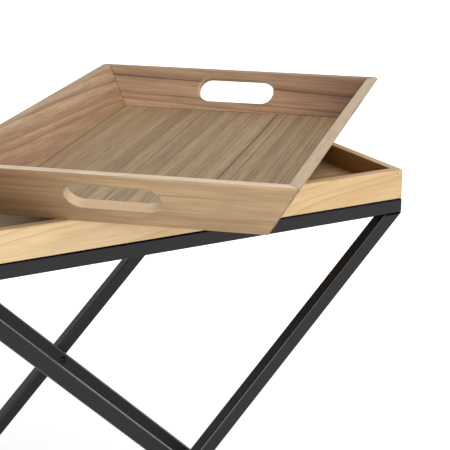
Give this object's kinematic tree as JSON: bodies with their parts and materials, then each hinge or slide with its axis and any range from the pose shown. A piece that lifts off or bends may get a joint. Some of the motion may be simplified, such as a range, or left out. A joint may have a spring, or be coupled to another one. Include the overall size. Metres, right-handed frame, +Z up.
{
  "type": "side table",
  "caption": "Side table with a crossed black tube frame, a shallow pale wood box top and a loose flared wooden tray with slot handles lying askew across the rim.",
  "frame": {"origin": "on the floor under the middle of the four feet", "axes": "+Z up, +X along the long side of the table to the right of a person facing its front, +Y from the front to the back"},
  "size_m": [0.7688, 0.748, 0.7557],
  "materials": {
    "frame_black": "satin black powder coat, finely textured",
    "bolt_black": "black oxide, half gloss",
    "zinc_steel": "zinc plated",
    "nail_steel": "dull bright steel, set slightly below the face",
    "glide_plastic": "moulded black plastic",
    "box_wood": "pale fir, clear matt oil, eased arrises",
    "box_panel": "fir faced plywood, clear matt oil",
    "tray_wood": "weathered grey-brown stain, matt, straight grain",
    "tray_panel": "grey-brown stained veneer with dark straight grain"
  },
  "bodies": {
    "table": {"box_back_board": "box_wood", "box_floor": "box_panel", "box_front_board": "box_wood", "box_left_board": "box_wood", "box_nails": "nail_steel", "box_right_board": "box_wood", "box_screws": "zinc_steel", "crossing_bolts": "bolt_black", "crossing_cap_nuts": "bolt_black", "crossing_washers": "zinc_steel", "foot_glide_back_inner": "glide_plastic", "foot_glide_back_outer": "glide_plastic", "foot_glide_front_inner": "glide_plastic", "foot_glide_front_outer": "glide_plastic", "leg_back_inner": "frame_black", "leg_back_outer": "frame_black", "leg_front_inner": "frame_black", "leg_front_outer": "frame_black", "leg_head_bolts": "zinc_steel", "leg_head_plate_back_inner": "frame_black", "leg_head_plate_back_outer": "frame_black", "leg_head_plate_front_inner": "frame_black", "leg_head_plate_front_outer": "frame_black", "rail_back": "frame_black", "rail_front": "frame_black", "rail_left": "frame_black", "rail_right": "frame_black", "stretcher_inner": "frame_black", "stretcher_outer": "frame_black"},
    "tray": {"tray_back_end": "tray_wood", "tray_brads": "nail_steel", "tray_floor": "tray_panel", "tray_front_end": "tray_wood", "tray_left_side": "tray_wood", "tray_right_side": "tray_wood"}
  },
  "joints": [
    {"name": "tray_lift", "type": "slide", "parent": "table", "child": "tray", "axis": [0, 0, 1], "range_m": [0, 0.3]}
  ]
}
